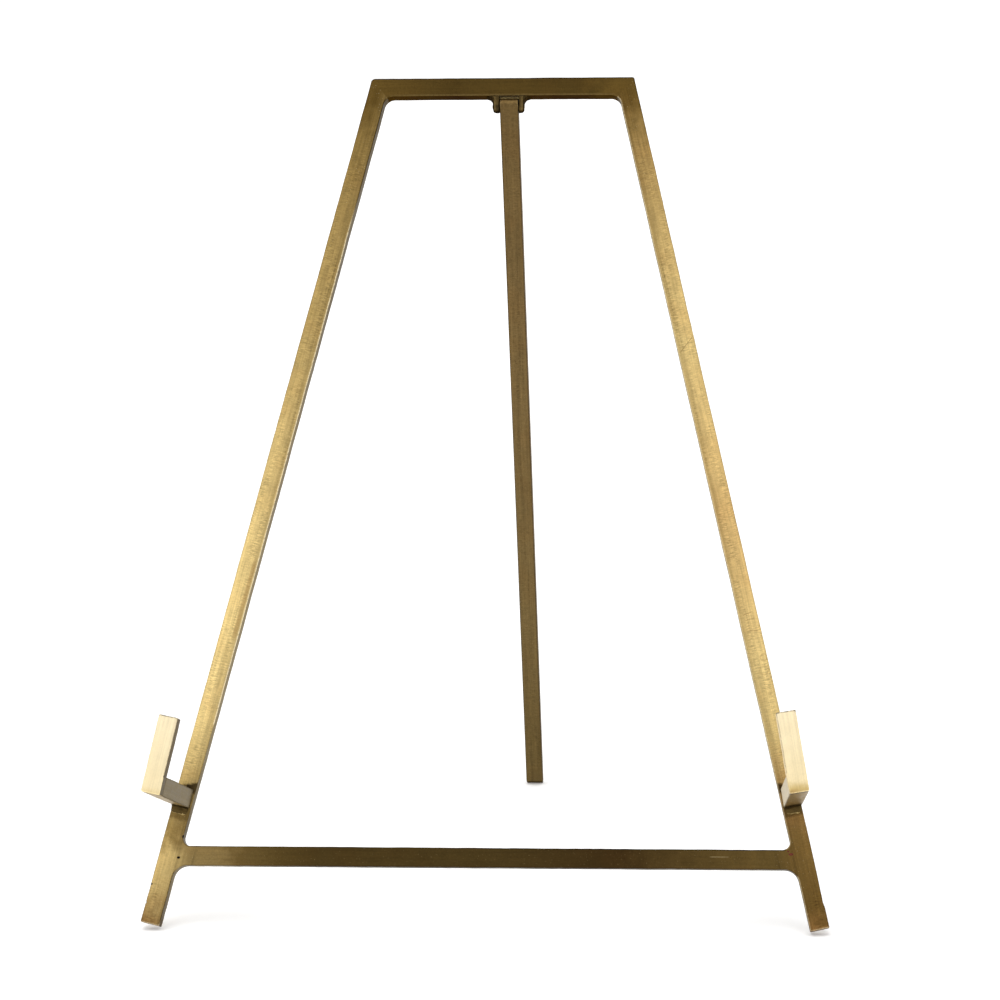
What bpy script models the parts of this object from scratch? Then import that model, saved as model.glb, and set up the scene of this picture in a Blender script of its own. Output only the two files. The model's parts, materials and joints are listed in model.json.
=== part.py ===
"""A folding tabletop display easel of brazed brass bar.

The frame is drawn in its own plane: X to the right, Z up along the legs from the cross rail's lower edge, and Y
back from the frame's front face. One empty then leans the frame back until both feet and the strut stand on Z = 0.
"""
import math

import bmesh
import bpy
from mathutils import Matrix, Vector

# Bar stock: 1/4 in by 3/16 in
BAR = 0.00635
DEPTH = 0.00476
EDGE = 0.00025
GAP = 0.0003

# Frame
FRAME_TOP = 0.2662
FOOT_DROP = 0.0196
TOP_CORNER_X = {"left": -0.0443, "right": 0.0447}
SPLAY = {"left": math.radians(13.42), "right": math.radians(12.72)}
SIDE = {"left": -1, "right": 1}
TOP_FILLET = 0.0035
UPPER_FILLET = 0.0022
LOWER_FILLET = 0.0045

# Ledge hooks: where each arm's lower edge meets its leg, measured down the leg from the frame's top corner
ARM_LOW = {"left": 0.2535, "right": 0.2515}
ARM_OUTSET = {"left": 0.0005, "right": 0.0004}
ARM_TURN = {"left": math.radians(0.5), "right": math.radians(0.85)}
ARM_DROOP = math.radians(1.85)
LIP_LEAN = {"left": math.radians(11.9), "right": math.radians(9.65)}
ARM_REACH = 0.0534
ARM_WIDTH = 0.0060
ARM_HEIGHT = 0.0062
LIP_WIDTH = 0.0062
LIP_HEIGHT = {"left": 0.0245, "right": 0.0252}
ARM_BRAZE = 0.0026

# Hinge
HINGE_X = 0.0024
PIN_DROP = 0.0030
PIN_BACK = 0.0029
PIN_RADIUS = 0.0011
EAR_BORE = 0.00125
STRUT_BORE = 0.0013
EAR_RADIUS = 0.0022
EAR_THICKNESS = {"left": 0.0021, "right": 0.0016}
EAR_FLARE = 0.0024
EAR_CLEARANCE = 0.00035
PIN_PROUD = 0.0002

# Strut
STRUT_WIDTH = 0.0062
STRUT_LENGTH = 0.2766
OPEN_ANGLE = math.radians(41.17)
HEEL_RISE = 0.0015
NOSE_RADIUS = 0.0027
NOSE_START = math.radians(60)
FOOT_CHAMFER = 0.0022

ARC_STEPS = 12
ROUND_STEPS = 32
CUSP = 0.0001

IN_PLANE = Matrix.Rotation(math.radians(90), 4, "X")
ACROSS = Matrix.Rotation(math.radians(90), 4, "Z") @ IN_PLANE


def clear_objects():
    for obj in list(bpy.data.objects):
        bpy.data.objects.remove(obj, do_unlink=True)


def new_collection(name):
    collection = bpy.data.collections.new(name)
    bpy.context.scene.collection.children.link(collection)
    return collection


def antique_brass(name, colour, roughness):
    material = bpy.data.materials.new(name)
    material.use_nodes = True
    shader = material.node_tree.nodes["Principled BSDF"]
    shader.inputs["Base Color"].default_value = (*colour, 1.0)
    shader.inputs["Metallic"].default_value = 1.0
    shader.inputs["Roughness"].default_value = roughness
    return material


def new_object(name, mesh, collection, parent, material=None):
    obj = bpy.data.objects.new(name, mesh)
    collection.objects.link(obj)
    obj.parent = parent
    if material:
        mesh.materials.append(material)
    return obj


def new_empty(name, collection, parent=None, location=(0, 0, 0), rotation=(0, 0, 0)):
    empty = new_object(name, None, collection, parent)
    empty.location = location
    empty.rotation_euler = rotation
    return empty


def soften(obj):
    """Takes the sharpness off the edges of a bar."""
    bevel = obj.modifiers.new("softened_edges", "BEVEL")
    bevel.width = EDGE
    bevel.segments = 2
    bevel.limit_method = "ANGLE"
    bevel.angle_limit = math.radians(40)


def block(size, corner):
    """A box with its lowest corner at the given point, ready to be cut."""
    bm = bmesh.new()
    bmesh.ops.create_cube(bm, size=1.0)
    bmesh.ops.scale(bm, vec=size, verts=bm.verts)
    bmesh.ops.translate(bm, vec=Vector(corner) + Vector(size) / 2, verts=bm.verts)
    return bm


def saw(bm, point, normal):
    """Cuts off what lies beyond a plane and closes the end."""
    everything = bm.verts[:] + bm.edges[:] + bm.faces[:]
    bmesh.ops.bisect_plane(bm, geom=everything, plane_co=point, plane_no=normal, clear_outer=True)
    bmesh.ops.holes_fill(bm, edges=bm.edges[:], sides=0)
    bmesh.ops.recalc_face_normals(bm, faces=bm.faces[:])


def mesh_of(bm, name):
    mesh = bpy.data.meshes.new(name)
    bm.to_mesh(mesh)
    bm.free()
    return mesh


def arc(centre, radius, start, end, steps=ARC_STEPS):
    """Points along an arc, both ends included; angles in radians."""
    points = []
    for i in range(steps + 1):
        angle = start + (end - start) * i / steps
        points.append((centre[0] + radius * math.cos(angle), centre[1] + radius * math.sin(angle)))
    return points


def circle(centre, radius):
    return arc(centre, radius, 0, math.tau, ROUND_STEPS)[:-1]


def plate(name, outlines, thickness, plane):
    """A flat plate from closed outlines, the later ones being holes, centred on its plane."""
    curve = bpy.data.curves.new(name + "_outline", "CURVE")
    curve.dimensions = "2D"
    curve.fill_mode = "BOTH"
    curve.extrude = thickness / 2
    for outline in outlines:
        spline = curve.splines.new("POLY")
        spline.points.add(len(outline) - 1)
        for point, (x, y) in zip(spline.points, outline):
            point.co = (x, y, 0, 1)
        spline.use_cyclic_u = True
    holder = bpy.data.objects.new(name + "_outline", curve)
    bpy.context.scene.collection.objects.link(holder)
    evaluated = holder.evaluated_get(bpy.context.evaluated_depsgraph_get())
    mesh = bpy.data.meshes.new_from_object(evaluated)
    bpy.data.objects.remove(holder)
    bm = bmesh.new()
    bm.from_mesh(mesh)
    bmesh.ops.remove_doubles(bm, verts=bm.verts, dist=0.000001)
    bmesh.ops.transform(bm, matrix=plane, verts=bm.verts)
    bmesh.ops.recalc_face_normals(bm, faces=bm.faces[:])
    bm.to_mesh(mesh)
    bm.free()
    mesh.name = name
    return mesh


def leg_directions(side):
    """Down the leg's length, and square to it towards the middle of the frame, as (x, z)."""
    sign, splay = SIDE[side], SPLAY[side]
    down = Vector((sign * math.sin(splay), -math.cos(splay)))
    inward = Vector((-sign * math.cos(splay), -math.sin(splay)))
    return down, inward


def outer_corner(side):
    return Vector((TOP_CORNER_X[side], FRAME_TOP))


def inner_corner(side, height):
    """Where the leg's inner edge crosses a height."""
    down, inward = leg_directions(side)
    start = outer_corner(side) + inward * BAR
    return start + down * ((height - start.y) / down.y)


def mitre_angle(side):
    """Half the angle between the rail and the leg at the frame's top corner."""
    return math.radians(45) + SPLAY[side] / 2


def build_leg(side, collection, frame, material):
    """A leg with its origin at the frame's outer top corner and its length down its own -Z."""
    sign = SIDE[side]
    corner = outer_corner(side)
    down, inward = leg_directions(side)
    foot = corner + inward * BAR
    length = (foot.y + FOOT_DROP) / math.cos(SPLAY[side])
    bm = block((BAR, DEPTH, length + BAR), (0 if side == "left" else -BAR, 0, -length))
    half = mitre_angle(side)
    normal = Vector((-sign * math.cos(half), 0, math.sin(half)))
    saw(bm, -normal * GAP / 2, normal)
    leg = new_object(side + "_leg", mesh_of(bm, side + "_leg"), collection, frame, material)
    leg.location = (corner.x, 0, corner.y)
    leg.rotation_euler.y = -sign * SPLAY[side]
    soften(leg)
    return leg


def build_top_rail(collection, frame, material):
    left_x, right_x = TOP_CORNER_X["left"], TOP_CORNER_X["right"]
    bm = block((right_x - left_x, DEPTH, BAR), (left_x, 0, -BAR))
    for side, sign in SIDE.items():
        half = mitre_angle(side)
        normal = Vector((sign * math.sin(half), 0, -math.cos(half)))
        saw(bm, Vector((TOP_CORNER_X[side], 0, 0)) - normal * GAP / 2, normal)
    rail = new_object("top_rail", mesh_of(bm, "top_rail"), collection, frame, material)
    rail.location = (0, 0, FRAME_TOP)
    soften(rail)
    return rail


def build_cross_rail(collection, frame, material):
    half_length = inner_corner("right", 0).x + BAR
    bm = block((2 * half_length, DEPTH, BAR), (-half_length, 0, 0))
    for side in SIDE:
        inward = leg_directions(side)[1]
        point = inner_corner(side, 0) + inward * GAP
        saw(bm, Vector((point.x, 0, point.y)), Vector((-inward.x, 0, -inward.y)))
    rail = new_object("cross_rail", mesh_of(bm, "cross_rail"), collection, frame, material)
    soften(rail)
    return rail


def fillet_outline(corner, first, second, radius):
    """The metal between two edges that leave a corner and an arc that touches both, its cusps cut short."""
    half = first.angle(second) / 2
    middle = (first + second).normalized()
    start = corner + middle * GAP / math.sin(half)
    centre = start + middle * radius / math.sin(half)
    cusp = math.acos(1 - CUSP / radius)
    edge_length = radius / math.tan(half) - radius * math.sin(cusp)
    turn = math.radians(90) - half - cusp
    spin = 1 if first.cross(second) < 0 else -1
    points = [start, start + first * edge_length]
    for i in range(ARC_STEPS + 1):
        ray = Matrix.Rotation(spin * turn * (2 * i / ARC_STEPS - 1), 2) @ -middle
        points.append(centre + ray * radius)
    points.append(start + second * edge_length)
    return [tuple(point) for point in points]


def build_fillet(name, side, height, upwards, radius, collection, frame, material):
    """Filler metal between a rail's edge at the given height and a leg's inner edge."""
    down = leg_directions(side)[0]
    along_rail = Vector((-SIDE[side], 0))
    outline = fillet_outline(inner_corner(side, height), along_rail, -down if upwards else down, radius)
    mesh = plate(name, [outline], DEPTH - 2 * EDGE, IN_PLANE)
    fillet = new_object(name, mesh, collection, frame, material)
    fillet.location = (0, DEPTH / 2, 0)
    return fillet


def build_hook(side, collection, frame, materials):
    """An arm forward from a leg, a lip up from the arm's end, and filler metal under the arm's root."""
    down, inward = leg_directions(side)
    sign = SIDE[side]
    low = outer_corner(side) + down * ARM_LOW[side] + inward * (BAR / 2 - ARM_OUTSET[side])
    lean = -sign * LIP_LEAN[side]
    root = new_empty(side + "_hook_root", collection, frame, (low.x, 0, low.y), (0, lean, 0))
    swing = new_empty(side + "_hook", collection, root, (0, 0, 0), (ARM_DROOP, 0, ARM_TURN[side]))
    arm_length = ARM_REACH - DEPTH - GAP
    bm = block((ARM_WIDTH, ARM_REACH, ARM_HEIGHT), (-ARM_WIDTH / 2, -arm_length, 0))
    saw(bm, Vector((0, -GAP, 0)), Vector((0, math.cos(ARM_DROOP), -math.sin(ARM_DROOP))))
    arm = new_object(side + "_ledge_arm", mesh_of(bm, side + "_ledge_arm"), collection, swing, materials["arm"])
    soften(arm)
    lip_mesh = mesh_of(block((LIP_WIDTH, DEPTH, LIP_HEIGHT[side]), (-LIP_WIDTH / 2, 0, 0)), side + "_ledge_lip")
    lip = new_object(side + "_ledge_lip", lip_mesh, collection, swing, materials["lip"])
    lip.location = (0, -ARM_REACH, 0)
    soften(lip)
    under_arm = Vector((-math.cos(ARM_DROOP), -math.sin(ARM_DROOP)))
    outline = fillet_outline(Vector((0, 0)), under_arm, Vector((0, -1)), ARM_BRAZE)
    braze_mesh = plate(side + "_arm_braze", [outline], ARM_WIDTH - 2 * EDGE, ACROSS)
    new_object(side + "_arm_braze", braze_mesh, collection, root, materials["braze"])


def hinge_location():
    return Vector((HINGE_X, PIN_BACK, FRAME_TOP - BAR - PIN_DROP))


def build_ear(side, collection, cutters, frame, material):
    """A lug under the top rail: round below the pin, bored for it, and flared where it meets the rail."""
    top = PIN_DROP - GAP
    thickness = EAR_THICKNESS[side]
    root_thickness = thickness + EAR_FLARE
    profile = [(EAR_RADIUS, top), (-EAR_RADIUS, top)]
    profile += arc((0, 0), EAR_RADIUS, math.pi, math.tau)
    mesh = plate(side + "_hinge_ear", [profile, circle((0, 0), EAR_BORE)], root_thickness, ACROSS)
    ear = new_object(side + "_hinge_ear", mesh, collection, frame, material)
    inner_face = STRUT_WIDTH / 2 + EAR_CLEARANCE
    sign = SIDE[side]
    ear.location = hinge_location() + Vector((sign * (inner_face + root_thickness / 2), 0, 0))

    outer = thickness - root_thickness / 2
    corner = 0.8 * thickness
    flare = [(-root_thickness, -2 * EAR_RADIUS), (outer - corner, -2 * EAR_RADIUS), (outer - corner, -EAR_RADIUS)]
    flare += arc((outer - corner, corner - EAR_RADIUS), corner, -math.pi / 2, 0)
    flare += arc((outer + EAR_FLARE, top - EAR_FLARE), EAR_FLARE, math.pi, math.pi / 2)
    flare += [(outer + EAR_FLARE, 2 * top), (-root_thickness, 2 * top)]
    if sign < 0:
        flare = [(-x, z) for x, z in reversed(flare)]
    cutter = new_object(side + "_ear_flare", plate(side + "_ear_flare", [flare], 4 * EAR_RADIUS, IN_PLANE),
                        cutters, frame)
    cutter.location = ear.location
    cutter.hide_render = True
    cutter.display_type = "WIRE"
    shaped = ear.modifiers.new("flare", "BOOLEAN")
    shaped.operation = "INTERSECT"
    shaped.object = cutter
    return ear


def build_pin(collection, frame, material):
    length = STRUT_WIDTH + 2 * (EAR_CLEARANCE + PIN_PROUD) + sum(EAR_THICKNESS.values())
    bm = bmesh.new()
    bmesh.ops.create_cone(bm, cap_ends=True, segments=ROUND_STEPS, radius1=PIN_RADIUS, radius2=PIN_RADIUS,
                          depth=length, matrix=Matrix.Rotation(math.radians(90), 4, "Y"))
    mesh = mesh_of(bm, "hinge_pin")
    mesh.shade_smooth()
    mesh.set_sharp_from_angle(angle=math.radians(40))
    pin = new_object("hinge_pin", mesh, collection, frame, material)
    pin.location = hinge_location() + Vector(((EAR_THICKNESS["right"] - EAR_THICKNESS["left"]) / 2, 0, 0))
    soften(pin)
    return pin


def strut_outline():
    """Side view with the pin at the origin: Y back, Z up the bar."""
    half = DEPTH / 2
    outline = [(half, -STRUT_LENGTH), (half, HEEL_RISE)]
    outline += arc((0, 0), NOSE_RADIUS, NOSE_START, math.pi - math.acos(half / NOSE_RADIUS))
    outline += [(-half, FOOT_CHAMFER - STRUT_LENGTH), (FOOT_CHAMFER - half, -STRUT_LENGTH)]
    return outline


def build_strut(collection, frame, material):
    """The rear strut. Its square heel meets the top rail when it is open, and its nose turns clear of the rail."""
    mesh = plate("rear_strut", [strut_outline(), circle((0, 0), STRUT_BORE)], STRUT_WIDTH, ACROSS)
    strut = new_object("rear_strut", mesh, collection, frame, material)
    strut.location = hinge_location()
    strut.rotation_euler.x = OPEN_ANGLE
    return strut


def standing_lean():
    """The angle that brings the line from the feet to the strut's foot down to the level."""
    toe_back = FOOT_CHAMFER - DEPTH / 2
    pin = hinge_location()
    foot_y = pin.y + STRUT_LENGTH * math.sin(OPEN_ANGLE) + toe_back * math.cos(OPEN_ANGLE)
    foot_z = pin.z - STRUT_LENGTH * math.cos(OPEN_ANGLE) + toe_back * math.sin(OPEN_ANGLE)
    return math.atan2(foot_z + FOOT_DROP, foot_y - DEPTH)


def stand_on_floor(frame, collection):
    """Leans the frame back, then puts the middle of the easel's footprint at the origin with its feet on Z = 0."""
    frame.rotation_euler.x = -standing_lean()
    bpy.context.view_layer.update()
    graph = bpy.context.evaluated_depsgraph_get()
    corners = []
    for obj in collection.objects:
        if obj.type == "MESH":
            shown = obj.evaluated_get(graph)
            corners += [shown.matrix_world @ vertex.co for vertex in shown.data.vertices]
    low = Vector([min(corner[i] for corner in corners) for i in range(3)])
    high = Vector([max(corner[i] for corner in corners) for i in range(3)])
    middle = (low + high) / 2
    frame.location = (-middle.x, -middle.y, -low.z)
    bpy.context.view_layer.update()


def build_easel():
    clear_objects()
    easel = new_collection("display_easel")
    cutters = new_collection("cutters")
    frame = new_empty("frame_lean", easel)

    rail_brass = antique_brass("dark_rail_brass", (0.13, 0.085, 0.03), 0.42)
    leg_brass = antique_brass("worn_leg_brass", (0.55, 0.40, 0.16), 0.38)
    cross_brass = antique_brass("brown_cross_brass", (0.16, 0.10, 0.04), 0.42)
    strut_brass = antique_brass("dull_strut_brass", (0.20, 0.13, 0.06), 0.48)
    filler_brass = antique_brass("filler_brass", (0.30, 0.20, 0.08), 0.45)
    hinge_brass = antique_brass("hinge_brass", (0.18, 0.12, 0.05), 0.45)
    pin_brass = antique_brass("pin_brass", (0.35, 0.25, 0.10), 0.35)
    hooks = {
        "arm": antique_brass("arm_brass", (0.45, 0.36, 0.20), 0.38),
        "lip": antique_brass("bright_lip_brass", (0.80, 0.62, 0.32), 0.34),
        "braze": antique_brass("arm_braze_brass", (0.14, 0.11, 0.04), 0.55),
    }

    build_top_rail(easel, frame, rail_brass)
    build_cross_rail(easel, frame, cross_brass)
    for side in SIDE:
        build_leg(side, easel, frame, leg_brass)
        build_fillet("top_" + side + "_fillet", side, FRAME_TOP - BAR, False, TOP_FILLET, easel, frame,
                     filler_brass)
        build_fillet("cross_" + side + "_upper_fillet", side, BAR, True, UPPER_FILLET, easel, frame, filler_brass)
        build_fillet("cross_" + side + "_lower_fillet", side, 0, False, LOWER_FILLET, easel, frame, filler_brass)
        build_hook(side, easel, frame, hooks)
        build_ear(side, easel, cutters, frame, hinge_brass)
    build_pin(easel, frame, pin_brass)
    build_strut(easel, frame, strut_brass)
    stand_on_floor(frame, easel)


build_easel()
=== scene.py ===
"""A brazed brass display easel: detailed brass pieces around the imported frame, on a pale floor in soft light.

Outlines are drawn in the frame's own plane: X to the right, Z up along the legs from the cross rail's lower
edge, and Y back from the frame's front face. One matrix, taken from the record, stands that plane up.
"""
import json
import math

import bmesh
import bpy
from mathutils import Matrix, Vector, noise


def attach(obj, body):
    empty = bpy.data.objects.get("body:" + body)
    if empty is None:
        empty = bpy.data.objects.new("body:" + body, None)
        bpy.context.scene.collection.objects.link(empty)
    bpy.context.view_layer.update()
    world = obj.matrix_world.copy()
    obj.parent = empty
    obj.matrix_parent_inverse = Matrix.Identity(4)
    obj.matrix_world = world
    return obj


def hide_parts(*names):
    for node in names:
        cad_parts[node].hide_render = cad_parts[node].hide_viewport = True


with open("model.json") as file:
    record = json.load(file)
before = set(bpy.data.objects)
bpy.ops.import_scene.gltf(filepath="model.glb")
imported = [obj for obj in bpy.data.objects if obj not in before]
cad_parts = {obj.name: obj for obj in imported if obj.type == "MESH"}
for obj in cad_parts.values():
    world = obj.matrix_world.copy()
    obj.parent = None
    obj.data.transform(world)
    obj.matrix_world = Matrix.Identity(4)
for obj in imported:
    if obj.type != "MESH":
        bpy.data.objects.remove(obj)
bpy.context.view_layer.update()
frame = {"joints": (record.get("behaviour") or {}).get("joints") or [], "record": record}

MM = 0.001

# The same driving sizes as the CAD, in metres
BAR = 0.00635
DEPTH = 0.00476
FRAME_TOP = 0.2662
FOOT_DROP = 0.0196
SIDE = {"left": -1, "right": 1}
TOP_CORNER_X = {"left": -0.0443, "right": 0.0447}
SPLAY = {"left": math.radians(13.42), "right": math.radians(12.72)}
TOP_FILLET = 0.0035
UPPER_FILLET = 0.0024
LOWER_FILLET = 0.0047
JOINT_STUB = 0.0058

ARM_LOW = {"left": 0.2535, "right": 0.2515}
ARM_OUTSET = {"left": 0.0005, "right": 0.0004}
ARM_TURN = {"left": math.radians(0.5), "right": math.radians(0.85)}
ARM_DROOP = math.radians(1.85)
LIP_LEAN = {"left": math.radians(11.9), "right": math.radians(9.65)}
ARM_REACH = 0.0534
ARM_WIDTH = 0.0060
ARM_HEIGHT = 0.0062
LIP_WIDTH = 0.0062
LIP_HEIGHT = {"left": 0.0245, "right": 0.0252}
ARM_BRAZE = 0.0027
BRAZE_GAP = 0.00002

HINGE_X = 0.0024
PIN_DROP = 0.0030
PIN_BACK = 0.0029
PIN_RADIUS = 0.0011
PIN_HOLE = 0.00118
STRUT_BORE = 0.0013
EAR_RADIUS = 0.0022
EAR_THICKNESS = {"left": 0.0021, "right": 0.0016}
EAR_FLARE = 0.0024
EAR_CLEARANCE = 0.00035
EAR_SLIP = 0.0001
EAR_TOE = 0.0014
EAR_BEND = 0.0007
PIN_PROUD = 0.0002

STRUT_WIDTH = 0.0062
STRUT_LENGTH = 0.2766
OPEN_ANGLE = math.radians(41.17)
HEEL_RISE = 0.0015
NOSE_RADIUS = 0.00285
NOSE_START = math.radians(60)
FOOT_CHAMFER = 0.0022

# How finely the edges are worked
EDGE = 0.00025
EDGE_FADE_BAND = 0.0002
STEP = 0.002
WAVER = 0.00011
LEAST_WAVER = 0.00001
EDGE_STEPS = 4
ARC_STEPS = 14
ROUND_STEPS = 32
SHARP_ANGLE = math.radians(30)
HALF_BAR_MM = 3.2

# A shallow step filed in the outside of the right foot
FILED_BEYOND = 0.1025
FILED_FROM = -0.0106
FILED_TO = 0.004
FILED_DEPTH = 0.00026

# The camera: lens in mm, sideways shift in frame widths, place in metres and turn in degrees
CAMERA_LENS = 112.07
CAMERA_SHIFT = -0.06004
CAMERA_PLACE = (0.08128, -1.03902, 0.29174)
CAMERA_TURN = (81.0384, 0.4753, 3.2355)


def record_placement():
    """The matrix that stands the frame's own plane up: the lean and the pin's place come from the record."""
    record = frame["record"]
    back_rest = [mount for mount in record["mounts"] if mount["name"] == "back_rest"][0]
    lean = math.atan2(back_rest["axis"][2], -back_rest["axis"][1])
    turn = Matrix.Rotation(-lean, 4, "X")
    pin = Vector(frame["joints"][0]["pos_m"])
    return Matrix.Translation(pin - turn @ PIN_PLACE) @ turn


PIN_PLACE = Vector((HINGE_X, PIN_BACK, FRAME_TOP - BAR - PIN_DROP))
STANDING = record_placement()


# ---------------------------------------------------------------- outlines

def leg_directions(side):
    """Down the leg's length, and square to it towards the middle of the frame, as (x, z)."""
    sign, splay = SIDE[side], SPLAY[side]
    down = Vector((sign * math.sin(splay), -math.cos(splay)))
    inward = Vector((-sign * math.cos(splay), -math.sin(splay)))
    return down, inward


def outer_corner(side):
    return Vector((TOP_CORNER_X[side], FRAME_TOP))


def inner_corner(side, height):
    """Where the leg's inner edge crosses a height."""
    down, inward = leg_directions(side)
    start = outer_corner(side) + inward * BAR
    return start + down * ((height - start.y) / down.y)


def arc_between(corner, first, second, radius, steps):
    """An arc that touches both edges leaving a corner, from the first edge to the second."""
    half = first.angle(second) / 2
    middle = (first + second).normalized()
    centre = corner + middle * radius / math.sin(half)
    turn = math.radians(90) - half
    spin = 1 if first.cross(second) < 0 else -1
    points = []
    for i in range(steps + 1):
        ray = Matrix.Rotation(spin * turn * (2 * i / steps - 1), 2) @ -middle
        points.append(centre + ray * radius)
    return points


def rounded(points, radii):
    """A closed outline with each corner turned on its own radius; a radius of 0 leaves the corner sharp."""
    made = []
    for i, (point, radius) in enumerate(zip(points, radii)):
        if radius:
            back = (points[i - 1] - point).normalized()
            ahead = (points[(i + 1) % len(points)] - point).normalized()
            steps = ARC_STEPS if radius > 0.001 else 5
            made += arc_between(point, back, ahead, radius, steps)
        else:
            made.append(point)
    return made


def in_steps(points, step=STEP):
    """The same outline with its long edges divided."""
    made = []
    for i, point in enumerate(points):
        ahead = points[(i + 1) % len(points)]
        count = max(1, round((ahead - point).length / step))
        made += [point.lerp(ahead, j / count) for j in range(count)]
    return made


def circle(radius):
    """A hole's outline, with the metal on its left."""
    return [Vector((radius * math.cos(a), radius * math.sin(a)))
            for a in [-math.tau * i / ROUND_STEPS for i in range(ROUND_STEPS)]]


# ---------------------------------------------------------------- solids

def metal_ward(loop):
    """For each point of a loop, the move that takes its two edges one unit into the metal."""
    moves = []
    count = len(loop)
    for i in range(count):
        before = (loop[i] - loop[i - 1]).normalized()
        after = (loop[(i + 1) % count] - loop[i]).normalized()
        first = Vector((-before.y, before.x))
        second = Vector((-after.y, after.x))
        moves.append((first + second) / (1 + first.dot(second)))
    return moves


def waver(point, seed, amount=WAVER):
    """How far hand filing has gone past the drawn edge here."""
    coarse = noise.noise(Vector((point.x * 90, point.y * 90, seed)))
    fine = noise.noise(Vector((point.x * 420, point.y * 420, seed + 7)))
    filed = 0.0
    if point.x > FILED_BEYOND and FILED_FROM < point.y < FILED_TO:
        filed = FILED_DEPTH * (FILED_TO - point.y) / (FILED_TO - FILED_FROM)
    return LEAST_WAVER + filed + amount * max(0.0, 0.5 + 0.7 * coarse + 0.5 * fine)


def edge_profile(thickness):
    """Steps over a rounded edge, down the side and over the far edge: inset, depth, and how bright the step is
    painted, partly as brass bared by rubbing and partly as a painted highlight.
    """
    front = [(EDGE + EDGE_FADE_BAND, 0.0, 0.0), (EDGE, 0.0, 0.75)]
    for i in range(1, EDGE_STEPS):
        angle = math.radians(90) * i / EDGE_STEPS
        front.append((EDGE - EDGE * math.sin(angle), EDGE - EDGE * math.cos(angle), 1.0))
    front += [(0.0, EDGE, 0.45), (0.0, EDGE + EDGE_FADE_BAND, 0.0)]
    back = [(inset, thickness - depth, wear_and_painted_light) for inset, depth, wear_and_painted_light in reversed(front)]
    return front + back


def slab(loops, thickness, to_local, seed, edge_tone, amount=WAVER):
    """A plate with softened, slightly uneven edges. Each loop has its metal on the left.

    The edge tone gives how far the edge at a point is painted bright, partly as brass bared by rubbing and
    partly as a painted highlight along the rounded edge, or with a minus sign how far it is blackened, from the
    loop's number, the point and the direction into the metal."""
    bm = bmesh.new()
    wear_and_light_layer = bm.verts.layers.float.new("wear_and_painted_light")
    profile = edge_profile(thickness)
    caps = ([], [])
    for number, loop in enumerate(loops):
        moves = metal_ward(loop)
        edge_tones = [edge_tone(number, p, move) for p, move in zip(loop, moves)]
        uneven = [waver(p, seed, amount) for p in loop]
        rings = []
        for inset, depth, wear_and_painted_light in profile:
            ring = []
            for point, move, extra, edge_value in zip(loop, moves, uneven, edge_tones):
                flat = point + move * (inset + extra)
                vert = bm.verts.new(to_local(flat.x, flat.y, depth))
                vert[wear_and_light_layer] = wear_and_painted_light * edge_value
                ring.append(vert)
            rings.append(ring)
        for upper, lower in zip(rings, rings[1:]):
            for i in range(len(loop)):
                j = (i + 1) % len(loop)
                bm.faces.new((upper[i], upper[j], lower[j], lower[i]))
        for cap, ring in zip(caps, (rings[0], rings[-1])):
            cap += [bm.edges.get((ring[i], ring[(i + 1) % len(ring)])) for i in range(len(ring))]
    for cap in caps:
        bmesh.ops.triangle_fill(bm, edges=cap, use_beauty=True)
    bmesh.ops.recalc_face_normals(bm, faces=bm.faces[:])
    return bm


def saw(bm, point, normal):
    """Cuts off what lies beyond a plane and closes the end."""
    everything = bm.verts[:] + bm.edges[:] + bm.faces[:]
    bmesh.ops.bisect_plane(bm, geom=everything, plane_co=point, plane_no=normal, clear_outer=True)
    bmesh.ops.holes_fill(bm, edges=[e for e in bm.edges if e.is_boundary], sides=0)
    bmesh.ops.recalc_face_normals(bm, faces=bm.faces[:])


def temporary(bm, name):
    mesh = bpy.data.meshes.new(name)
    bm.to_mesh(mesh)
    bm.free()
    obj = bpy.data.objects.new(name, mesh)
    bpy.context.scene.collection.objects.link(obj)
    return obj


def carved(bm, tool):
    """The solid with the tool's solid cut away, its cut faces keeping the tool's material number."""
    work, cutter = temporary(bm, "work"), temporary(tool, "tool")
    cut = work.modifiers.new("carve", "BOOLEAN")
    cut.operation = "DIFFERENCE"
    cut.object = cutter
    cut.solver = "EXACT"
    evaluated = work.evaluated_get(bpy.context.evaluated_depsgraph_get())
    result = bmesh.new()
    result.from_mesh(evaluated.to_mesh())
    wear_and_light_layer = result.verts.layers.float.get("wear_and_painted_light") or result.verts.layers.float.new("wear_and_painted_light")
    for face in result.faces:
        if face.material_index:
            for vert in face.verts:
                vert[wear_and_light_layer] = 0.0
    for obj in (work, cutter):
        mesh = obj.data
        bpy.data.objects.remove(obj)
        bpy.data.meshes.remove(mesh)
    return result


def drill_bit():
    bm = bmesh.new()
    bmesh.ops.create_cone(bm, cap_ends=True, segments=40, radius1=PIN_HOLE, radius2=PIN_HOLE, depth=0.03,
                          matrix=Matrix.Rotation(math.radians(90), 4, "Y"))
    return bm


def pit_tool(pits):
    """Small ragged cutters: each pit has its centre, half sizes and material number."""
    bm = bmesh.new()
    for number, (centre, half_sizes, material_index) in enumerate(pits):
        made = bmesh.ops.create_icosphere(bm, subdivisions=2, radius=1.0)["verts"]
        for vert in made:
            ragged = 1 + 0.25 * noise.noise(vert.co * 1.7 + Vector((number * 5.3, 2.1, 0.7)))
            vert.co = Vector(centre) + Vector([c * h * ragged for c, h in zip(vert.co, half_sizes)])
        faces = {face for vert in made for face in vert.link_faces}
        for face in faces:
            face.material_index = material_index
    return bm


def front_view(x, z, depth):
    return Vector((x, depth, z))


def side_view(thickness):
    return lambda y, z, depth: Vector((depth - thickness / 2, y, z))


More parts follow.
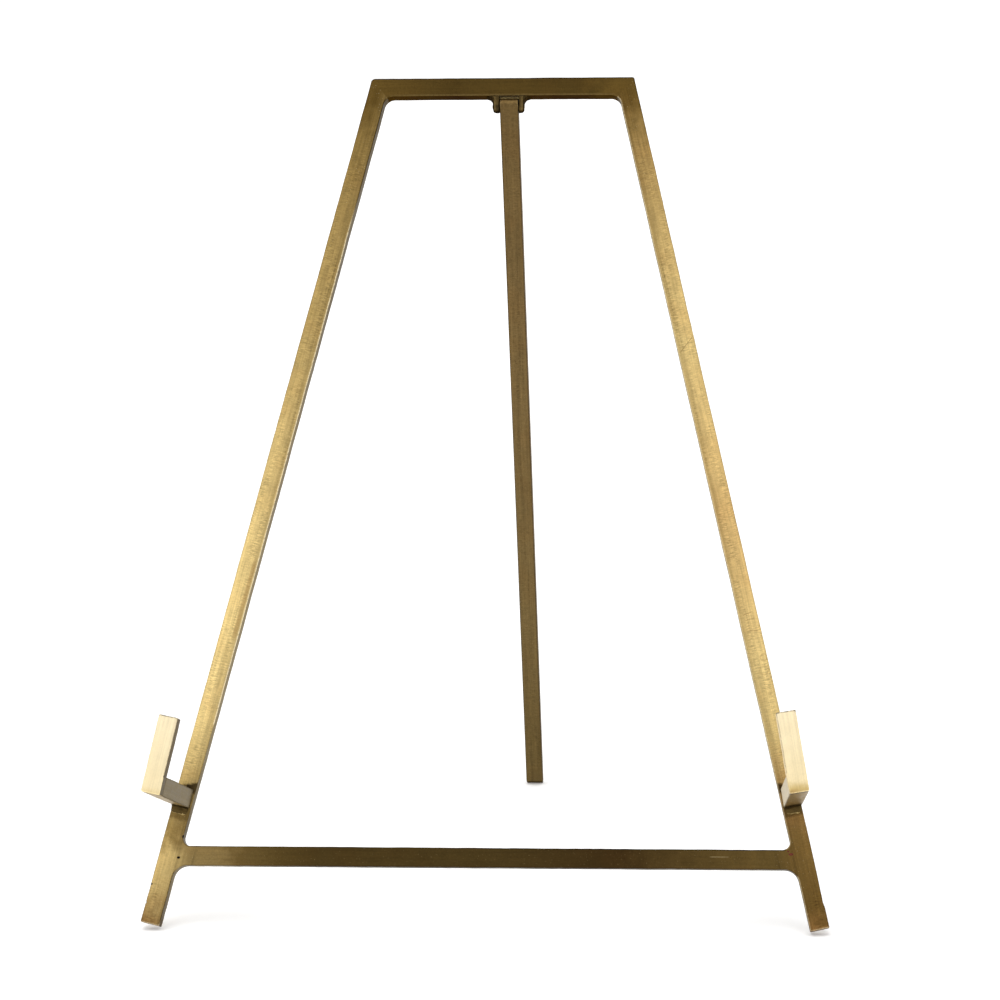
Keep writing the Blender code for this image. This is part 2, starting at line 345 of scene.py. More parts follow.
def loft(rings):
    """A solid through closed rings of the same count."""
    bm = bmesh.new()
    wear_and_light_layer = bm.verts.layers.float.new("wear_and_painted_light")
    made = [[bm.verts.new(p) for p in ring] for ring in rings]
    for upper, lower in zip(made, made[1:]):
        for i in range(len(upper)):
            j = (i + 1) % len(upper)
            bm.faces.new((upper[i], upper[j], lower[j], lower[i]))
    bm.faces.new(made[0])
    bm.faces.new(made[-1][::-1])
    for vert in bm.verts:
        vert[wear_and_light_layer] = 0.25
    bmesh.ops.recalc_face_normals(bm, faces=bm.faces[:])
    return bm


def paint(mesh, layer, values):
    attribute = mesh.attributes.new(layer, "FLOAT_VECTOR", "POINT")
    attribute.data.foreach_set("vector", [c for value in values for c in value])


def make_piece(name, bm, place, body, materials, stands_for, grain, face_material=None):
    """A finished piece: its mesh, what its materials read, its body and the CAD nodes that it stands for.

    grain gives a point's place along, across and through its bar in mm, and face_material picks a face's
    material by its normal."""
    mesh = bpy.data.meshes.new(name)
    if face_material:
        bm.normal_update()
        for face in bm.faces:
            if face.material_index == 0:
                face.material_index = face_material(face.normal)
    bm.to_mesh(mesh)
    bm.free()
    drift = (place.translation - STANDING.translation) / MM
    paint(mesh, "grain", [grain(vertex.co) for vertex in mesh.vertices])
    paint(mesh, "spread", [vertex.co / MM + drift for vertex in mesh.vertices])
    mesh.transform(place)
    piece = bpy.data.objects.new(name, mesh)
    bpy.context.scene.collection.objects.link(piece)
    for finish in materials:
        mesh.materials.append(finish)
    mesh.shade_smooth()
    mesh.set_sharp_from_angle(angle=SHARP_ANGLE)
    weighted = piece.modifiers.new("flat_faces_stay_flat", "WEIGHTED_NORMAL")
    weighted.keep_sharp = True
    weighted.weight = 90
    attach(piece, body)
    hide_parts(*stands_for)
    return piece


# ---------------------------------------------------------------- brass

def linear(channel):
    channel /= 255
    return channel / 12.92 if channel <= 0.04045 else ((channel + 0.055) / 1.055) ** 2.4


def tone(colour, light=1.0):
    return (*[linear(channel) * light for channel in colour], 1.0)


# Antique brass on one scale, in sRGB: burnt black, dark brown, plain brass, rubbed bright and bare
POLISH = [(0, 0, 0), (90, 70, 32), (146, 122, 72), (218, 192, 130), (248, 232, 194)]
FRESH_EDGE = (252, 236, 184)
COPPER_LOSS = (0.0, 0.12, 0.15)
RED_FILM = (1.0, 0.84, 0.70, 1.0)
BLACK_EDGE = (0.012, 0.007, 0.003, 1.0)

# The stretches of a leg where its crossways brush marks fade towards the hook and come back below it
ABOVE_HOOK_MM = (236, 250)
BELOW_HOOK_MM = (270, 282)


def patina(polish, dull=0.0, copper=0.0):
    """Brass at one place on the scale, from 0 to 4. dull greys it, and copper turns it redder."""
    low = min(int(polish), len(POLISH) - 2)
    part = polish - low
    plain = [first + (second - first) * part for first, second in zip(POLISH[low], POLISH[low + 1])]
    redder = [channel * (1 - loss * copper) for channel, loss in zip(plain, COPPER_LOSS)]
    grey = sum(redder) / 3
    return [channel + (grey - channel) * dull for channel in redder]


class Nodes:
    """Adds nodes to one material, in order, and joins them."""

    def __init__(self, name):
        self.material = bpy.data.materials.new(name)
        self.material.use_nodes = True
        self.tree = self.material.node_tree
        self.shader = self.tree.nodes["Principled BSDF"]

    def add(self, kind, inputs=(), **settings):
        node = self.tree.nodes.new("ShaderNode" + kind)
        for key, value in settings.items():
            setattr(node, key, value)
        for socket, value in dict(inputs).items():
            self.feed(node.inputs[socket], value)
        return node

    def feed(self, socket, value):
        if isinstance(value, bpy.types.NodeSocket):
            self.tree.links.new(value, socket)
        else:
            socket.default_value = value

    def math(self, operation, *values, clamp=False):
        node = self.add("Math", operation=operation, use_clamp=clamp)
        for socket, value in zip(node.inputs, values):
            self.feed(socket, value)
        return node.outputs[0]

    def ramp(self, factor, stops):
        node = self.add("ValToRGB", {"Fac": factor})
        band = node.color_ramp
        band.interpolation = "LINEAR"
        while len(band.elements) < len(stops):
            band.elements.new(0.5)
        for element, (position, colour) in zip(band.elements, stops):
            element.position = position
            element.color = colour
        return node.outputs["Color"]

    def speckle(self, vector, stretch, detail=3.0, roughness=0.55, offset=0.0):
        """Noise from 0 to 1 over the grain, stretched along, across and through the bar."""
        moved = self.add("Mapping", {"Vector": vector, "Scale": stretch, "Location": [offset] * 3})
        node = self.add("TexNoise", {"Vector": moved.outputs[0], "Scale": 1.0, "Detail": detail,
                                     "Roughness": roughness})
        return node.outputs["Fac"]

    def swing(self, fraction, half_spread=0.18):
        """Spreads noise that gathers round a half over -1 to 1."""
        node = self.add("MapRange", {"Value": fraction, "From Min": 0.5 - half_spread,
                                     "From Max": 0.5 + half_spread, "To Min": -1.0, "To Max": 1.0})
        return node.outputs["Result"]

    def smooth_step(self, value, low, high, to_low=0.0, to_high=1.0):
        node = self.add("MapRange", {"Value": value, "From Min": low, "From Max": high, "To Min": to_low,
                                     "To Max": to_high}, interpolation_type="SMOOTHSTEP")
        return node.outputs["Result"]

    def mix(self, factor, first, second, blend="MIX"):
        node = self.add("Mix", data_type="RGBA", blend_type=blend)
        self.feed(node.inputs[0], factor)
        self.feed(node.inputs[6], first)
        self.feed(node.inputs[7], second)
        return node.outputs[2]


def brass(name, stops, length, bright_colour, across_shift=0.0, mottle=0.10, streak=0.06, hatch=0.05, brown=0.35,
          specks=0.25, roughness=0.40, stains=(), stub=None, strokes=(), rings=(), light=1.0, rim=0.5,
          drift=3.0):
    """Antique brass: tones along the bar, cloudy patina, brush marks both ways, specks, and edges painted
    bright, partly as brass bared by rubbing and partly as a painted highlight.

    stops are (distance along the bar in mm, colour). The dark bands are (distance, half length, colour,
    strength, how much they narrow towards the outer edge); on a leg the band just above a hook's arm is a
    painted contact shadow.
    stub is the colour where another bar leaves this one. strokes are (along, across, along, across, half width,
    colour, strength) and rings are (along, across, radius, colour, strength). rim is how much a glancing view
    reflects, and drift is how many mm the tones wander."""
    n = Nodes(name)
    grain = n.add("Attribute", attribute_name="grain").outputs["Vector"]
    spread = n.add("Attribute", attribute_name="spread").outputs["Vector"]
    wear_and_painted_light = n.add("Attribute", attribute_name="wear_and_painted_light").outputs["Fac"]
    parts = n.add("SeparateXYZ", {"Vector": grain})
    along, across = parts.outputs["X"], parts.outputs["Y"]

    cloud = n.swing(n.speckle(spread, (0.22, 0.22, 0.22), 4.0, 0.6))
    patch = n.swing(n.speckle(spread, (0.08, 0.08, 0.08), 2.0, 0.5, 31.0))
    spot = n.swing(n.speckle(spread, (1.4, 1.4, 1.4), 3.0, 0.75, 57.0))
    fine = n.swing(n.speckle(spread, (3.3, 3.3, 3.3), 2.0, 0.8, 77.0))
    broad = n.swing(n.speckle(grain, (0.025, 0.8, 0.8), 2.0, 0.5, 23.0))
    lines = n.swing(n.speckle(grain, (0.06, 2.4, 2.4), 2.0, 0.7, 11.0))
    marks = n.swing(n.speckle(grain, (2.3, 0.42, 0.42), 2.0, 0.8, 5.0), 0.12)
    shown = n.smooth_step(n.speckle(grain, (0.07, 0.3, 0.3), 2.0, 0.5, 43.0), 0.42, 0.60, 0.3, 1.0)
    marks = n.math("MULTIPLY", marks, shown)

    shifted = n.math("MULTIPLY_ADD", cloud, drift, along)
    reach = n.math("DIVIDE", shifted, length)
    # light scales every tone: it paints a bar's flank copy darker than its face as painted shade, or lighter as
    # painted light
    band = [(distance / length, tone(colour, light)) for distance, colour in stops]
    colour = n.ramp(reach, band)
    # Dark bands across the bar; on a leg the band just above a hook's arm is a painted contact shadow
    for distance, half, stain, strength, taper in stains:
        off = n.math("ABSOLUTE", n.math("SUBTRACT", along, distance))
        narrowed = n.math("MULTIPLY_ADD", n.math("SUBTRACT", HALF_BAR_MM, across), taper, off)
        ragged = n.math("MULTIPLY_ADD", spot, 0.3, narrowed)
        colour = n.mix(n.smooth_step(ragged, half * 0.55, half, strength, 0.0), colour, tone(stain, light))
    near = n.math("MINIMUM", across, HALF_BAR_MM)
    if stub:
        leaving = n.smooth_step(across, 0.0, 8.5)
        colour = n.mix(leaving, colour, tone(stub, light))
        kept = n.math("MULTIPLY", n.math("SUBTRACT", 1.0, leaving), n.smooth_step(along, 6.0, 34.0))
        near = n.math("MULTIPLY", near, kept)
        above_hook = n.smooth_step(along, *ABOVE_HOOK_MM, 1.0, 0.35)
        below_hook = n.smooth_step(along, *BELOW_HOOK_MM, 0.0, 0.65)
        brushed = n.math("ADD", above_hook, below_hook)
        marks = n.math("MULTIPLY", n.math("MULTIPLY", marks, kept), brushed)

    red = n.smooth_step(patch, -0.2, 0.9, 0.0, brown)
    colour = n.mix(red, colour, RED_FILM, "MULTIPLY")

    value = n.math("MULTIPLY_ADD", cloud, 0.7 * mottle, 1.0)
    value = n.math("MULTIPLY_ADD", lines, streak, value)
    value = n.math("MULTIPLY_ADD", broad, streak, value)
    value = n.math("MULTIPLY_ADD", marks, hatch, value)
    value = n.math("MULTIPLY_ADD", spot, mottle, value)
    value = n.math("MULTIPLY_ADD", fine, mottle, value)
    value = n.math("MULTIPLY_ADD", near, across_shift, value)
    scaled = n.add("VectorMath", {0: colour, "Scale": value}, operation="SCALE").outputs[0]

    grit = n.speckle(spread, (2.6, 2.6, 2.6), 1.0, 0.4, 91.0)
    finished = n.mix(n.smooth_step(grit, 0.70, 0.75, 0.0, specks), scaled, tone(bright_colour, light))
    broken = n.smooth_step(spot, -0.9, 0.3, 0.45, 1.0)
    for first, low, last, high, half, stroke, strength in strokes:
        run, rise = last - first, high - low
        span = math.hypot(run, rise)
        down = n.math("SUBTRACT", along, first)
        over = n.math("SUBTRACT", across, low)
        beside = n.math("MULTIPLY_ADD", down, -rise / span, n.math("MULTIPLY", over, run / span))
        reached = n.math("MULTIPLY_ADD", down, run / span, n.math("MULTIPLY", over, rise / span))
        past = n.math("ABSOLUTE", n.math("SUBTRACT", reached, span / 2))
        within = n.smooth_step(n.math("ABSOLUTE", beside), half * 0.4, half, strength, 0.0)
        fading = n.smooth_step(past, span * 0.38, span * 0.5, 1.0, 0.0)
        inside = n.math("MULTIPLY", within, fading)
        finished = n.mix(n.math("MULTIPLY", inside, broken), finished, tone(stroke, light))
    for centre, side_step, radius, ring, strength in rings:
        down = n.math("SUBTRACT", along, centre)
        over = n.math("SUBTRACT", across, side_step)
        far = n.math("SQRT", n.math("MULTIPLY_ADD", down, down, n.math("MULTIPLY", over, over)))
        off = n.math("ABSOLUTE", n.math("SUBTRACT", far, radius))
        inside = n.math("MULTIPLY", n.smooth_step(off, 0.08, 0.3, strength, 0.0), broken)
        finished = n.mix(inside, finished, tone(ring, light))
    # Edges painted bright from the edge attribute, partly as brass bared by rubbing and partly as a painted
    # highlight; on the ears it is a painted highlight and on the strut's nose painted light. A minus sign
    # blackens.
    patchy = n.smooth_step(spot, -0.8, 0.5, 0.35, 1.0)
    finished = n.mix(n.math("MULTIPLY", wear_and_painted_light, patchy, clamp=True), finished, tone(bright_colour, light))
    black = n.math("MULTIPLY", n.math("MULTIPLY", wear_and_painted_light, -1.0), patchy, clamp=True)
    finished = n.mix(black, finished, BLACK_EDGE)
    n.feed(n.shader.inputs["Base Color"], finished)

    rough = n.math("MULTIPLY_ADD", cloud, 0.05, roughness)
    rough = n.math("MULTIPLY_ADD", lines, 0.04, rough)
    rough = n.math("MULTIPLY_ADD", black, 0.25, rough)
    n.feed(n.shader.inputs["Roughness"], rough)

    height = n.math("MULTIPLY_ADD", marks, 0.5, lines)
    height = n.math("MULTIPLY_ADD", spot, 0.8, height)
    relief = n.add("Bump", {"Strength": 0.35, "Distance": 0.00002, "Height": height})
    n.feed(n.shader.inputs["Normal"], relief.outputs["Normal"])
    n.shader.inputs["Metallic"].default_value = 1.0
    n.shader.inputs["Specular Tint"].default_value = (rim, rim, rim, 1.0)
    return n.material


# ---------------------------------------------------------------- the easel

def frame_edge_tone(number, point, move):
    """Some edges are painted bright, partly as brass bared by rubbing and partly as a painted highlight along
    the rounded edge; the rails' upper edges and the sheltered corners keep their black.
    """
    if number == 1:
        if move.y < -0.9:
            return -1.0 if point.x > 0 else -0.6
        if move.y > 0.9:
            return 0.35
        if point.x > 0:
            return 0.55 if point.y > 0.03 else 0.3
        if point.y > 0.21:
            return -0.5 + 1.3 * max(0.0, 0.23 - point.y) / 0.02
        return 0.8 if point.y > 0.045 else -0.35
    if point.y > FRAME_TOP - 0.001:
        return -1.0
    if point.y < -0.018:
        return 0.45
    if point.y < 0.0005:
        inside = abs(move.y) < 0.5 and move.x * point.x > 0
        return (0.4 if point.x > 0 else -0.75) if inside else -0.3
    return -0.22


def frame_solid():
    """The whole brazed frame in one go, so that its pieces meet without a seam."""
    toes = {}
    for side in SIDE:
        inward = leg_directions(side)[1]
        inner = inner_corner(side, -FOOT_DROP)
        toes[side] = (inner, inner - inward * BAR)
    outer = rounded(
        [toes["left"][1], toes["left"][0], inner_corner("left", 0), inner_corner("right", 0),
         toes["right"][0], toes["right"][1], outer_corner("right"), outer_corner("left")],
        [0.0004, 0.0003, LOWER_FILLET, LOWER_FILLET, 0.0003, 0.0003, 0.0009, 0.0016])
    hole = rounded(
        [inner_corner("left", BAR), inner_corner("left", FRAME_TOP - BAR),
         inner_corner("right", FRAME_TOP - BAR), inner_corner("right", BAR)],
        [UPPER_FILLET, TOP_FILLET, TOP_FILLET, UPPER_FILLET])
    return slab([in_steps(outer), in_steps(hole)], DEPTH, front_view, seed=3.0, edge_tone=frame_edge_tone)


def mitre_plane(side):
    """A point and a normal that points from the rail's side to the leg's."""
    half = math.radians(45) + SPLAY[side] / 2
    corner = outer_corner(side)
    return Vector((corner.x, 0, corner.y)), Vector((SIDE[side] * math.sin(half), 0, -math.cos(half)))


def stub_plane(side):
    """Where the cross rail leaves the leg's fillets, with a normal that points towards the rail."""
    inward = leg_directions(side)[1]
    point = inner_corner(side, 0) + inward * JOINT_STUB
    return Vector((point.x, 0, point.y)), Vector((inward.x, 0, inward.y))


def leg_grain(side):
    down, inward = leg_directions(side)
    corner = outer_corner(side)

    def grain(p):
        offset = Vector((p.x, p.z)) - corner
        return (offset.dot(down) / MM, (offset.dot(inward) - BAR / 2) / MM, p.y / MM)
    return grain


# Casting pits and file nicks: place in the frame's plane, half sizes, and 1 for black flux or 2 for reddish
LEG_MARKS = {
    "left": [((-0.10048, 0, 0.0025), (0.00050, 0.00045, 0.00042), 1),
             ((-0.09905, 0, 0.0092), (0.00050, 0.00090, 0.00062), 1),
             ((-0.10885, 0.0001, -0.0060), (0.00030, 0.00090, 0.00034), 1),
             ((-0.11052, 0.0001, -0.0119), (0.00030, 0.00090, 0.00040), 1),
             ((-0.09810, 0.0002, 0.0226), (0.00030, 0.00060, 0.00030), 1)],
    "right": [((0.09665, 0, 0.0049), (0.00075, 0.00014, 0.00042), 2),
              ((0.09575, 0, 0.0058), (0.00036, 0.00010, 0.00028), 2),
              ((0.03992, 0, 0.2492), (0.00032, 0.00040, 0.00026), 0),
              ((0.04093, 0, 0.2440), (0.00028, 0.00036, 0.00042), 0),
              ((0.04140, 0, 0.2414), (0.00030, 0.00036, 0.00024), 0)],
}


def build_frame(materials):
    whole = frame_solid()
    pits = [materials["black_flux"], materials["red_flux"]]
    rail = whole.copy()
    saw(rail, Vector((0, 0, FRAME_TOP - 3 * BAR)), Vector((0, 0, -1)))
    for side in SIDE:
        saw(rail, *mitre_plane(side))
    make_piece("top_rail_bar", rail, STANDING, "frame",
               [materials["rail"], materials["rail_flank"]], ["top_rail"],
               lambda p: (p.x / MM + 110, (p.z - FRAME_TOP + BAR / 2) / MM, p.y / MM),
               lambda normal: 1 if abs(normal.y) < 0.3 else 0)
    for side in SIDE:
        leg = whole.copy()
        point, normal = stub_plane(side)
        saw(leg, point, normal)
        point, normal = mitre_plane(side)
        saw(leg, point, -normal)
        leg = carved(leg, pit_tool(LEG_MARKS[side]))
        stands_for = [side + "_leg", "top_" + side + "_fillet", "cross_" + side + "_upper_fillet",
                      "cross_" + side + "_lower_fillet"]
        make_piece(side + "_leg_bar", leg, STANDING, "frame",
                   [materials[side]] + pits + [materials[side + "_flank"]], stands_for, leg_grain(side),
                   lambda normal: 3 if abs(normal.y) < 0.3 else 0)
    cross = whole.copy()
    saw(cross, Vector((0, 0, 3 * BAR)), Vector((0, 0, 1)))
    for side in SIDE:
        point, normal = stub_plane(side)
        saw(cross, point, -normal)
    make_piece("cross_rail_bar", cross, STANDING, "frame",
               [materials["cross"], materials["cross_flank"]], ["cross_rail"],
               lambda p: (p.x / MM + 110, (p.z - BAR / 2) / MM, p.y / MM),
               lambda normal: 1 if abs(normal.y) < 0.3 else 0)
    whole.free()


# Nicks in the lips, in the hook's own directions: X to the right, Y back from the leg, Z up
LIP_MARKS = {
    "left": [((0.0031, -0.0533, 0.0060), (0.00030, 0.00040, 0.00055), 1),
             ((-0.0031, -0.0534, 0.0030), (0.00022, 0.00030, 0.00030), 0)],
    "right": [((0.0031, -0.0530, 0.0118), (0.00022, 0.00050, 0.00040), 1),
              ((0.0031, -0.0531, 0.0152), (0.00020, 0.00050, 0.00030), 1)],
}


def hook_places(side):
    """Where the hook's root stands on the leg, and where its drooping arm points."""
    down, inward = leg_directions(side)
    low = outer_corner(side) + down * ARM_LOW[side] + inward * (BAR / 2 - ARM_OUTSET[side])
    lean = Matrix.Rotation(-SIDE[side] * LIP_LEAN[side], 4, "Y")
    root = STANDING @ Matrix.Translation((low.x, 0, low.y)) @ lean
    swing = Matrix.Rotation(ARM_TURN[side], 4, "Z") @ Matrix.Rotation(ARM_DROOP, 4, "X")
    return root, root @ swing


def braze_bead(curve, side):
    """Filler metal under an arm's root: a hollow bead whose surface and ends wander a little."""
    rings = []
    half = ARM_WIDTH / 2 - 0.0003
    for i in range(17):
        across = -half + 2 * half * i / 16
        swell = 1 - 0.35 * abs(across / half) ** 6
        ring = [Vector((across, BRAZE_GAP, BRAZE_GAP))]
        for j, point in enumerate(curve):
            ripple = 1 + 0.16 * noise.noise(Vector((across * 700, j * 0.35, 4.0 + SIDE[side])))
            ring.append(Vector((across, point.x * swell * ripple, point.y * swell * ripple)))
        rings.append(ring)
    bm = loft(rings)
    wear_and_light_layer = bm.verts.layers.float.get("wear_and_painted_light")
    for vert in bm.verts:
        if vert.co.z < -0.80 * -curve[-1].y:
            vert[wear_and_light_layer] = 0.9
        else:
            vert[wear_and_light_layer] = -0.5 if vert.co.z > -0.0004 else 0.0
    return bm


def build_hook(side, materials):
    root, arm_place = hook_places(side)
    inner_end = -ARM_REACH + DEPTH + 0.00006
    rise = math.tan(ARM_DROOP) * ARM_HEIGHT
    side_outline = [Vector((inner_end, 0)), Vector((-0.00003, 0)), Vector((rise - 0.00003, ARM_HEIGHT)),
                    Vector((inner_end, ARM_HEIGHT))]
    arm = slab([in_steps(side_outline)], ARM_WIDTH, side_view(ARM_WIDTH), seed=11.0 + SIDE[side],
               edge_tone=lambda number, point, move: -0.5)
    make_piece(side + "_arm_bar", arm, arm_place, "frame",
               [materials[side + "_arm"], materials[side + "_under"]], [side + "_ledge_arm"],
               lambda p: (-p.y / MM, (p.z - ARM_HEIGHT / 2) / MM, p.x / MM),
               lambda normal: 1 if normal.z < -0.6 else 0)

    half, top = LIP_WIDTH / 2, LIP_HEIGHT[side]
    face = rounded([Vector((-half, 0)), Vector((half, 0)), Vector((half, top)), Vector((-half, top))],
                   [0.0006, 0.0006, 0.0004, 0.0004])
    dark_side = 1 if side == "left" else -1

    def lip_edge_tone(number, point, move):
        if point.y > top - 0.0005:
            return -0.85
        if point.x * dark_side > half - 0.0002:
            return -0.45 if point.y > ARM_HEIGHT else 0.3
        return 0.7
    lip = slab([in_steps(face, 0.001)], DEPTH, lambda x, z, d: Vector((x, d - ARM_REACH, z)),
               seed=21.0 + SIDE[side], edge_tone=lip_edge_tone)
    lip = carved(lip, pit_tool(LIP_MARKS[side]))
    make_piece(side + "_lip_bar", lip, arm_place, "frame",
               [materials[side + "_lip"], materials["black_flux"], materials["red_flux"],
                materials[side + "_side"], materials[side + "_under"]], [side + "_ledge_lip"],
               lambda p: (p.z / MM, p.x / MM, (p.y + ARM_REACH) / MM),
               lambda normal: 3 if abs(normal.x) > 0.75 else 4 if normal.z < -0.75 else 0)

    under_arm = Vector((-math.cos(ARM_DROOP), -math.sin(ARM_DROOP)))
    curve = arc_between(Vector((BRAZE_GAP, BRAZE_GAP)), under_arm, Vector((0, -1)), ARM_BRAZE, ARC_STEPS)
    bead = braze_bead(curve, side)
    make_piece(side + "_braze_bead", bead, root, "frame", [materials["braze"]],
               [side + "_arm_braze"], lambda p: (-p.z / MM, p.x / MM, p.y / MM))


def ear_ring(inner, outer, half_depth, bend, z, sign):
    """The ear's section at one height: a small corner beside the strut, and a wider bend outside."""
    small = min(0.0006, half_depth * 0.9, (outer - inner) * 0.45)
    wide = min(bend, half_depth * 0.9, (outer - inner) * 0.6)
    corners = [(outer, 1, wide, 0), (inner, 1, small, 90), (inner, -1, small, 180), (outer, -1, wide, 270)]
    ring = []
    for edge, front, radius, start in corners:
        cx = edge - radius if edge == outer else edge + radius
        cy = front * (half_depth - radius)
        for i in range(8):
            angle = math.radians(start + 90 * i / 7)
            ring.append(Vector((sign * (cx + radius * math.cos(angle)), cy + radius * math.sin(angle), z)))
    return ring


def build_ear(side, material):
    inner = STRUT_WIDTH / 2 + EAR_SLIP
    thickness = EAR_THICKNESS[side] + EAR_CLEARANCE - EAR_SLIP
    sign = SIDE[side]
    top = PIN_DROP + 0.00002
    rings = []
    for i in range(15):
        angle = math.radians(14 + 76 * i / 14)
        height = -EAR_RADIUS * math.cos(angle)
        short = max(0.0, EAR_TOE - EAR_RADIUS - height)
        pinch = EAR_TOE - math.sqrt(max(0.0, EAR_TOE ** 2 - short ** 2))
        rings.append((height, inner + pinch * 0.1, inner + thickness - pinch, EAR_RADIUS * math.sin(angle),
                      EAR_BEND))
    start = top - EAR_FLARE
    for i in range(1, 15):
        height = top * i / 14
        out = max(0.0, height - start)
        flare = EAR_FLARE - math.sqrt(max(0.0, EAR_FLARE ** 2 - out ** 2))
        rings.append((height, inner, inner + thickness + 0.96 * flare, EAR_RADIUS + 0.2 * flare,
                      EAR_BEND + 0.8 * flare))
    ear = loft([ear_ring(low, high, depth, bend, z, sign) for z, low, high, depth, bend in rings])
    wear_and_light_layer = ear.verts.layers.float.get("wear_and_painted_light")
    # The front's outer half is painted bright as a painted highlight; the bottom and the outer side are painted
    # near black, and the rest a little darker
    for vert in ear.verts:
        outward = (sign * vert.co.x - inner) / thickness
        low = -vert.co.z / EAR_RADIUS
        if outward > 0.8 or low > 0.8:
            vert[wear_and_light_layer] = -0.85
        else:
            vert[wear_and_light_layer] = 0.35 if outward > 0.45 and vert.co.y < 0 else -0.3
    ear = carved(ear, drill_bit())
    make_piece(side + "_ear_lug", ear, STANDING @ Matrix.Translation(PIN_PLACE), "frame",
               [material], [side + "_hinge_ear"], lambda p: (p.z / MM + 10, p.x / MM, p.y / MM))


def build_pin(material):
    """A riveted pin with low domed heads, flush in the ears."""
    ends = {}
    for side in SIDE:
        ends[side] = SIDE[side] * (STRUT_WIDTH / 2 + EAR_CLEARANCE + EAR_THICKNESS[side] + PIN_PROUD)
    rings = []
    dome = 0.00045
    stations = [(ends["left"] + dome * (1 - math.cos(a)), PIN_RADIUS * math.sin(a))
                for a in [math.radians(90) * (i + 1) / 7 for i in range(7)]]
    stations += [(ends["right"] - dome * (1 - math.cos(a)), PIN_RADIUS * math.sin(a))
                 for a in [math.radians(90) * (7 - i) / 7 for i in range(7)]]
    for x, radius in stations:
        rings.append([Vector((x, radius * math.cos(t), radius * math.sin(t)))
                      for t in [math.tau * i / ROUND_STEPS for i in range(ROUND_STEPS)]])
    make_piece("hinge_pin_rivet", loft(rings), STANDING @ Matrix.Translation(PIN_PLACE), "frame",
               [material], ["hinge_pin"], lambda p: (p.x / MM + 10, p.y / MM, p.z / MM))


def build_strut(materials):
    half = DEPTH / 2
    nose_end = math.pi - math.acos(half / NOSE_RADIUS)
    angles = [NOSE_START + (nose_end - NOSE_START) * i / ARC_STEPS for i in range(ARC_STEPS + 1)]
    outline = [Vector((FOOT_CHAMFER - half, -STRUT_LENGTH)), Vector((half, -STRUT_LENGTH)),
               Vector((half, HEEL_RISE))]
    outline += [Vector((NOSE_RADIUS * math.cos(a), NOSE_RADIUS * math.sin(a))) for a in angles]
    outline += [Vector((-half, FOOT_CHAMFER - STRUT_LENGTH))]

    # The nose's edges are painted bright, as painted light that lifts the shade in the hinge gap; the other
    # edges are blackened
    def edge_tone(number, point, move):
        return 0.3 if point.y > 0.0006 else -0.5
    strut = slab([in_steps(outline), circle(STRUT_BORE)], STRUT_WIDTH, side_view(STRUT_WIDTH), seed=41.0,
                 amount=0.00004, edge_tone=edge_tone)
    place = STANDING @ Matrix.Translation(PIN_PLACE) @ Matrix.Rotation(OPEN_ANGLE, 4, "X")
    make_piece("rear_strut_bar", strut, place, "strut",
               [materials["strut"], materials["strut_flank"]], ["rear_strut"],
               lambda p: (-p.z / MM + 5, p.x / MM, p.y / MM),
               lambda normal: 1 if abs(normal.x) > 0.7 else 0)


# ---------------------------------------------------------------- the set

def build_floor():
    bm = bmesh.new()
    bmesh.ops.create_grid(bm, x_segments=8, y_segments=8, size=12)
    mesh = bpy.data.meshes.new("floor")
    bm.to_mesh(mesh)
    bm.free()
    floor = bpy.data.objects.new("floor", mesh)
    bpy.context.scene.collection.objects.link(floor)
    n = Nodes("pale_floor")
    n.shader.inputs["Base Color"].default_value = (0.97, 0.97, 0.97, 1)
    n.shader.inputs["Roughness"].default_value = 0.9
    n.shader.inputs["Specular IOR Level"].default_value = 0.1
    n.shader.inputs["Emission Color"].default_value = (1, 1, 1, 1)
    n.shader.inputs["Emission Strength"].default_value = 0.2
    mesh.materials.append(n.material)


def build_light():
    world = bpy.data.worlds.new("soft_studio")
    bpy.context.scene.world = world
    world.use_nodes = True
    tree = world.node_tree
    background = tree.nodes["Background"]
    coords = tree.nodes.new("ShaderNodeTexCoord")
    parts = tree.nodes.new("ShaderNodeSeparateXYZ")
    tree.links.new(coords.outputs["Generated"], parts.inputs[0])
    ramp = tree.nodes.new("ShaderNodeValToRGB")
    band = ramp.color_ramp
    band.elements[0].position = 0.0
    band.elements[0].color = (1.06, 1.06, 1.06, 1)
    band.elements[1].position = 1.0
    band.elements[1].color = (0.25, 0.25, 0.25, 1)
    middle = band.elements.new(0.62)
    middle.color = (1.0, 1.0, 1.0, 1)
    tree.links.new(parts.outputs["Z"], ramp.inputs[0])
    tree.links.new(ramp.outputs[0], background.inputs[0])
    background.inputs["Strength"].default_value = 1.0

    lamp = bpy.data.lights.new("key", "SUN")
    lamp.energy = 1.25
    lamp.angle = math.radians(50)
    key = bpy.data.objects.new("key", lamp)
    key.rotation_euler = (math.radians(16), 0, math.radians(-18))
    bpy.context.scene.collection.objects.link(key)


def build_camera():
    data = bpy.data.cameras.new("camera")
    data.sensor_width = 36
    data.lens = CAMERA_LENS
    data.shift_x = CAMERA_SHIFT
    data.clip_start = 0.01
    camera = bpy.data.objects.new("camera", data)
    camera.location = CAMERA_PLACE
    camera.rotation_euler = [math.radians(angle) for angle in CAMERA_TURN]
    bpy.context.scene.collection.objects.link(camera)
    bpy.context.scene.camera = camera


def flux(name, colour):
    """Burnt flux left in a pit."""
    n = Nodes(name)
    grain = n.add("Attribute", attribute_name="grain").outputs["Vector"]
    crust = n.speckle(grain, (6.0, 6.0, 6.0), 3.0, 0.7)
    dark = tone([channel * 0.4 for channel in colour])
    n.feed(n.shader.inputs["Base Color"], n.mix(n.smooth_step(crust, 0.35, 0.65), dark, tone(colour)))
    n.feed(n.shader.inputs["Roughness"], n.smooth_step(crust, 0.3, 0.7, 0.65, 0.9))
    n.shader.inputs["Specular IOR Level"].default_value = 0.15
    relief = n.add("Bump", {"Strength": 0.6, "Distance": 0.00005, "Height": crust})
    n.feed(n.shader.inputs["Normal"], relief.outputs["Normal"])
    return n.material


